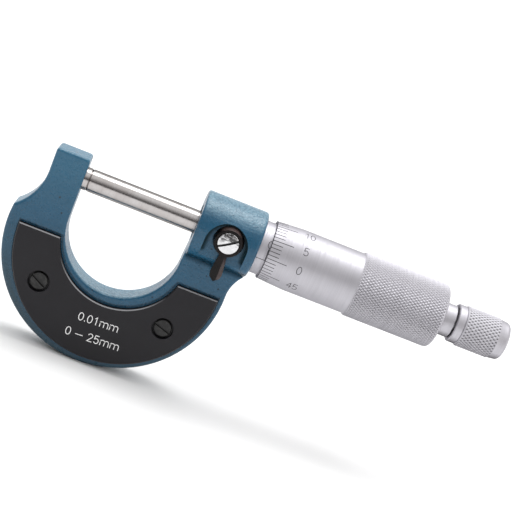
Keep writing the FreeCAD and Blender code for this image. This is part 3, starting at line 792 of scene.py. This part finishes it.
def thimble_barrel():
    """Tapered edge, plain barrel and knurled grip, bored for the sleeve, the spindle and the neck."""
    taper_end = THIMBLE_EDGE + THIMBLE_TAPER
    before, at = BLEND_DROPS
    land, rise = GRIP_LAND
    mouth, flare = NECK_MOUTH
    neck_bore = NECK_R + NECK_FIT
    cone_bore = CONE_R + RUNNING
    tail_bore = TAIL_R + RUNNING
    stations = ring(
        (THIMBLE_EDGE, THIMBLE_BORE_R),
        (THIMBLE_EDGE, THIMBLE_EDGE_R - EDGE_BREAK),
        (THIMBLE_EDGE + EDGE_BREAK, THIMBLE_EDGE_R),
        (taper_end - TAPER_BLEND, THIMBLE_R - before),
        (taper_end, THIMBLE_R - at),
        (taper_end + TAPER_BLEND, THIMBLE_R),
        (GRIP_START - land, THIMBLE_R),
        (GRIP_START, THIMBLE_R + rise),
    )
    grip_span = (GRIP_START, GRIP_END)
    stations += knurl_stations(grip_span, (THIMBLE_R, GRIP_R), GRIP_KNURL, GRIP_LEAD, GRIP_ROUND)
    stations += ring(
        (GRIP_END, GRIP_R - GRIP_ROUND),
        (GRIP_END, NECK_R + flare),
        (GRIP_END - mouth, neck_bore),
        (NECK_SEAT, neck_bore),
        (NECK_SEAT, cone_bore),
        (NECK_SEAT - CONE_LAND, cone_bore),
        (CONE_START, tail_bore),
        (WALL_START, tail_bore),
        (WALL_START, THIMBLE_BORE_R),
    )
    mesh = barrel("thimble_barrel", stations, GRIP_KNURL, diamonds, 0)
    smooth_by_angle(mesh, SHARP_ANGLE)
    piece = new_object("thimble_barrel", mesh, FINISHES["satin_chrome"], "thimble")
    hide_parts("thimble")


def cap_barrel():
    """Collar, knurled grip and rounded end, with saw teeth inside and a recess for the end screw."""
    tooth_face = CAP_LOW.x + CAP_SKIRT
    recess = CAP_HIGH.x - CAP_RECESS
    groove_half, groove_depth = COLLAR_GROOVE
    grip_span = (CAP_GRIP_START, CAP_GRIP_END)
    grip_radii = (CAP_GRIP_LOW_R, CAP_HIGH.z)
    stations = ring(
        (CAP_LOW.x, CAP_CAVITY_R),
        (CAP_LOW.x, COLLAR_R - COLLAR_BEVEL),
        (CAP_LOW.x + COLLAR_BEVEL, COLLAR_R),
        (COLLAR_END - groove_half, COLLAR_R),
        (COLLAR_END, COLLAR_R - groove_depth),
        (COLLAR_END + groove_half, COLLAR_R - groove_depth),
        (CAP_GRIP_START, CAP_GRIP_LOW_R),
    )
    stations += knurl_stations(grip_span, grip_radii, CAP_KNURL, CAP_GRIP_LEAD, CAP_GRIP_ROUND)
    stations += ring((CAP_GRIP_END, CAP_SHOULDER_R), (CAP_HIGH.x - CAP_ROUND, CAP_END_R))
    for step in range(1, ROUND_STEPS + 1):
        turn = math.radians(90 * step / ROUND_STEPS)
        x = CAP_HIGH.x - CAP_ROUND * (1 - math.sin(turn))
        stations += ring((x, CAP_END_R - CAP_ROUND * (1 - math.cos(turn))))
    stations += ring(
        (CAP_HIGH.x, CAP_RECESS_R + RECESS_BREAK),
        (CAP_HIGH.x - RECESS_BREAK, CAP_RECESS_R),
        (recess, CAP_RECESS_R),
        (recess, AXLE_R + RUNNING),
        (tooth_face, AXLE_R + RUNNING),
        (tooth_face, TOOTH_INNER_R),
    )
    for radius in (TOOTH_INNER_R + TOOTH_FOOT, CAP_CAVITY_R):
        stations.append((tooth_face, radius, 0, TOOTH_DEPTH))
    mesh = barrel("ratchet_cap_barrel", stations, CAP_KNURL, pits, TEETH)
    smooth_by_angle(mesh, SHARP_ANGLE)
    piece = new_object("ratchet_cap_barrel", mesh, FINISHES["satin_chrome"], "ratchet_cap")
    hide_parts("ratchet_cap")


# ---------------------------------------------------------------- graduations

def resampled(path):
    """The path with points at most one arc step apart, drawn out a little at open ends."""
    if (path[0] - path[-1]).length > ARC_STEP / 2:
        reach = END_ROUND * STROKE / 2
        path[0] = path[0] + (path[0] - path[1]).normalized() * reach
        path[-1] = path[-1] + (path[-1] - path[-2]).normalized() * reach
    points = [path[0]]
    for start, end in zip(path, path[1:]):
        count = math.ceil((end - start).length / ARC_STEP)
        points += [start.lerp(end, (k + 1) / count) for k in range(count)]
    return points


def mitres(points):
    """Sideways vector of unit half width at each point, lengthened at corners."""
    runs = [(b - a).normalized() for a, b in zip(points, points[1:])]
    sides = [Vector((-run.y, run.x)) for run in runs]
    joints = [sides[0]]
    for before, after in zip(sides, sides[1:]):
        joints.append((before + after) / max(1 + before.dot(after), 1 / MITRE_LIMIT))
    return joints + [sides[-1]]


class Engraving:
    """Thin closed fillings that follow a barrel, gathered into one mesh."""

    stroke_width = STROKE

    def __init__(self, radius_at):
        self.radius_at = radius_at
        self.points = []
        self.faces = []

    def at(self, x, arc_mm, lift, turn):
        """Point at a distance round the barrel from an angle in degrees."""
        radius = self.radius_at(x)
        return on_barrel(x, radius + lift, turn + math.degrees(arc_mm / radius))

    def patch(self, corners, turn):
        """Closed four-sided filling; corners are (x, distance round) in order."""
        a = len(self.points)
        for lift in (-INK_DEEP, INK_PROUD):
            self.points += [self.at(x, arc_mm, lift, turn) for x, arc_mm in corners]
        self.faces += [(a, a + 1, a + 2, a + 3), (a + 4, a + 7, a + 6, a + 5)]
        for k in range(4):
            n = (k + 1) % 4
            self.faces.append((a + k, a + 4 + k, a + 4 + n, a + n))

    def along(self, start, end, turn, width=LINE_WIDTH):
        """Line along the barrel."""
        half = width / 2
        self.patch([(start, -half), (end, -half), (end, half), (start, half)], turn)

    def around(self, x, arc_start, arc_end, turn, width=LINE_WIDTH):
        """Line round the barrel, in short straight lengths."""
        count = max(1, round(abs(arc_end - arc_start) / ARC_STEP))
        half = width / 2
        step = (arc_end - arc_start) / count
        for k in range(count):
            low = arc_start + k * step
            high = low + step
            self.patch([(x - half, low), (x + half, low), (x + half, high), (x - half, high)], turn)

    def stroke(self, path, x, arc_mm, size, turn):
        """Closed ribbon along a path of (right, up) points, sized and set on the surface."""
        middle = resampled([Vector(point) * size for point in path])
        half = self.stroke_width / 2
        first = len(self.points)
        for point, side in zip(middle, mitres(middle)):
            for lift in (-INK_DEEP, INK_PROUD):
                for edge in (point - side * half, point + side * half):
                    self.points.append(self.at(x + edge.x, arc_mm + edge.y, lift, turn))
        for k in range(len(middle) - 1):
            a, b = first + 4 * k, first + 4 * k + 4
            self.faces += [(a + 2, a + 3, b + 3, b + 2), (a, b, b + 1, a + 1)]
            self.faces += [(a, a + 2, b + 2, b), (a + 1, b + 1, b + 3, a + 3)]
        last = first + 4 * (len(middle) - 1)
        self.faces += [(first, first + 1, first + 3, first + 2), (last, last + 2, last + 3, last + 1)]

    def number(self, text, x, arc_mm, size, turn):
        """Upright digits centred at a place."""
        advance = DIGIT_ADVANCE * size
        start = x - advance * (len(text) - 1) / 2
        for index, digit in enumerate(text):
            for path in DIGITS[digit]:
                self.stroke(path, start + index * advance, arc_mm, size, turn)

    def finish(self, name, material, body, slot):
        """Make the gathered fillings one piece that rides a body."""
        new_object(name, mesh_from(name, self.points, self.faces), material, body)


def bow(cx, cy, rx, ry, start, end, steps):
    """Arc of an ellipse as (right, up) points, angles in degrees from the right."""
    turns = [math.radians(start + (end - start) * k / steps) for k in range(steps + 1)]
    return [(cx + rx * math.cos(t), cy + ry * math.sin(t)) for t in turns]


# Strokes of the engraved digits in use, one unit high, centred on the origin
DIGITS = {
    "0": [bow(0, 0, 0.29, 0.5, 90, 450, 20)],
    "1": [[(-0.17, 0.3), (0.04, 0.5), (0.04, -0.5)]],
    "2": [bow(0, 0.22, 0.27, 0.28, 165, -30, 10) + [(-0.29, -0.5), (0.3, -0.5)]],
    "3": [bow(-0.02, 0.24, 0.25, 0.26, 155, -85, 10), bow(-0.02, -0.24, 0.29, 0.27, 85, -155, 10)],
    "4": [[(0.14, -0.5), (0.14, 0.5), (-0.3, -0.18), (0.32, -0.18)]],
    "5": [[(0.25, 0.5), (-0.2, 0.5), (-0.25, 0.04)] + bow(0, -0.18, 0.28, 0.32, 140, -150, 12)],
}


def thimble_radius(x):
    """Outside of the thimble over its taper and the plain barrel."""
    share = min(1.0, max(0.0, (x - THIMBLE_EDGE) / THIMBLE_TAPER))
    return THIMBLE_EDGE_R + share * (THIMBLE_R - THIMBLE_EDGE_R)


def thimble_graduations():
    """Fifty divisions, numbered upwards every fifth."""
    marks = Engraving(thimble_radius)
    for division in range(DIVISIONS):
        turn = ZERO_ANGLE + 360 * division / DIVISIONS
        numbered = division % NUMBERED_EVERY == 0
        length = LONG_LINE if numbered else SHORT_LINE
        marks.along(THIMBLE_EDGE + LINE_INSET, THIMBLE_EDGE + length, turn)
        if numbered:
            marks.number(str(division), THIMBLE_EDGE + NUMERAL_OFFSET, 0, NUMERAL_HEIGHT, turn)
    inset, width = RIM_LINE
    marks.around(THIMBLE_EDGE + inset, 0, math.tau * THIMBLE_EDGE_R, 0, width)
    marks.finish("thimble_graduations", BLACK_INK, "thimble", "satin_chrome")


def sleeve_graduations():
    """Datum line, millimetres above it, numbered every fifth, and half millimetres below."""
    marks = Engraving(lambda x: SLEEVE_R)
    zero_x = THIMBLE_EDGE + READING_OFFSET
    end = zero_x + TRAVEL
    marks.along(SLEEVE_LOW.x + LINE_INSET, end + DATUM_OVERRUN, DATUM_ANGLE)
    for millimetre in range(TRAVEL + 1):
        x = zero_x + millimetre
        numbered = millimetre % NUMBERED_EVERY == 0
        marks.around(x, 0, SLEEVE_LONG if numbered else SLEEVE_SHORT, DATUM_ANGLE)
        if numbered:
            marks.number(str(millimetre), x, SLEEVE_NUMERAL_RISE, SLEEVE_NUMERAL, DATUM_ANGLE)
        if millimetre < TRAVEL:
            marks.around(x + HALF_MILLIMETRE, 0, -SLEEVE_SHORT, DATUM_ANGLE)
    marks.finish("sleeve_graduations", BLACK_INK, "outer_sleeve", "satin_chrome")


# ---------------------------------------------------------------- lettering

class Lettering(Engraving):
    """Filled strokes on the flat of the front plate, rising slightly to the right."""

    stroke_width = LETTER_STROKE

    def __init__(self, start_x, start_z):
        super().__init__(None)
        self.start = (start_x, start_z)

    def at(self, right, up, lift, turn):
        """Point right of and above the start, along a line that slopes by an angle."""
        slope = math.radians(turn)
        x = self.start[0] + right * math.cos(slope) - up * math.sin(slope)
        z = self.start[1] + right * math.sin(slope) + up * math.cos(slope)
        return (x, PLATE_LOW.y - lift, z)


def small_m():
    """Stem and two round arches."""
    stem, top, reach = 0.51, 0.21, 0.255
    strokes = [[(-stem, top), (-stem, -0.5)]]
    for side in (-1, 1):
        foot = (side * reach + reach, -0.5)
        strokes.append(bow(side * reach, top - reach, reach, reach, 180, 0, 10) + [foot])
    return strokes


# Strokes of the signs on the plate, in the digits' units
SIGNS = {
    **DIGITS,
    "m": small_m(),
    ".": [[(0, -0.5), (0, -0.39)]],
    "-": [[(-0.46, -0.09), (0.46, -0.09)]],
    " ": [],
}


def lettering(name, text, start_x, start_z, height):
    """A line of white sans lettering."""
    line = Lettering(start_x, start_z)
    right = -DIGIT_WIDTH * height / 2
    for sign in text:
        width = OTHER_WIDTHS.get(sign, DIGIT_WIDTH) * height
        for path in SIGNS[sign]:
            line.stroke(path, right + width / 2, 0, height, LETTER_SLOPE)
        right += width
    line.finish(name, WHITE_INK, "frame", "charcoal_plastic")


# ---------------------------------------------------------------- studio

def floor():
    """Wide pale floor under the lowest point of the bow."""
    half = FLOOR_HALF * MM
    z = FRAME_LOW.z * MM
    centre = (FRAME_LOW.x + CAP_HIGH.x) / 2 * MM
    mesh = bpy.data.meshes.new("studio_floor")
    left, right = centre - half, centre + half
    corners = [(left, -half, z), (right, -half, z), (right, half, z), (left, half, z)]
    mesh.from_pydata(corners, [], [(0, 1, 2, 3)])
    mesh.materials.append(floor_paper())
    obj = bpy.data.objects.new("studio_floor", mesh)
    bpy.context.scene.collection.objects.link(obj)


def key_light():
    """Large soft lamp almost overhead."""
    light = bpy.data.lights.new("key", "SUN")
    light.energy = KEY_STRENGTH
    light.angle = math.radians(KEY_ANGLE)
    obj = bpy.data.objects.new("key", light)
    obj.rotation_mode = "QUATERNION"
    obj.rotation_quaternion = (-KEY_FROM).to_track_quat("-Z", "Y")
    bpy.context.scene.collection.objects.link(obj)


def studio_world():
    """White ceiling over a room that is dim low down on the lever's side."""
    world = bpy.data.worlds.new("studio")
    bpy.context.scene.world = world
    world.use_nodes = True
    nodes, links = world.node_tree.nodes, world.node_tree.links
    direction = nodes.new("ShaderNodeTexCoord").outputs["Generated"]
    split = nodes.new("ShaderNodeSeparateXYZ")
    links.new(direction, split.inputs[0])

    def blend(axis, edge, low_color, high_color):
        """Blend from one colour or socket to another, along an axis of the room."""
        share = nodes.new("ShaderNodeMapRange")
        share.interpolation_type = "SMOOTHSTEP"
        share.inputs["From Min"].default_value, share.inputs["From Max"].default_value = edge
        links.new(split.outputs[axis], share.inputs["Value"])
        mix = nodes.new("ShaderNodeMix")
        mix.data_type = "RGBA"
        links.new(share.outputs["Result"], mix.inputs["Factor"])
        for socket, color in ((mix.inputs[6], low_color), (mix.inputs[7], high_color)):
            if isinstance(color, tuple):
                socket.default_value = color
            else:
                links.new(color, socket)
        return mix.outputs[2]

    front = blend("X", SIDE_EDGE, ROOM_FRONT, ROOM_SIDE)
    walls = blend("Y", FRONT_EDGE, front, ROOM_BACK)
    room = blend("Z", CEILING_EDGE, walls, ROOM_CEILING)
    links.new(room, nodes["Background"].inputs["Color"])


def camera():
    """A little above the spindle, with the micrometer sloping down to the right."""
    data = bpy.data.cameras.new("camera")
    data.lens = CAMERA_LENS
    data.clip_start, data.clip_end = CAMERA_CLIP
    obj = bpy.data.objects.new("camera", data)
    forward = (CAMERA_TARGET - CAMERA_AT).normalized()
    right = forward.cross(CAMERA_UP).normalized()
    up = right.cross(forward)
    turn = Matrix((right, up, -forward)).transposed()
    obj.matrix_world = Matrix.Translation(CAMERA_AT) @ turn.to_4x4()
    bpy.context.scene.collection.objects.link(obj)
    bpy.context.scene.camera = obj


finish_cad_nodes()
thimble_barrel()
cap_barrel()
thimble_graduations()
sleeve_graduations()
lettering("lettering_division", "0.01mm", *DIVISION_TEXT)
lettering("lettering_range", "0 - 25mm", *RANGE_TEXT)
floor()
key_light()
studio_world()
camera()
bpy.context.scene.view_settings.view_transform = "Standard"
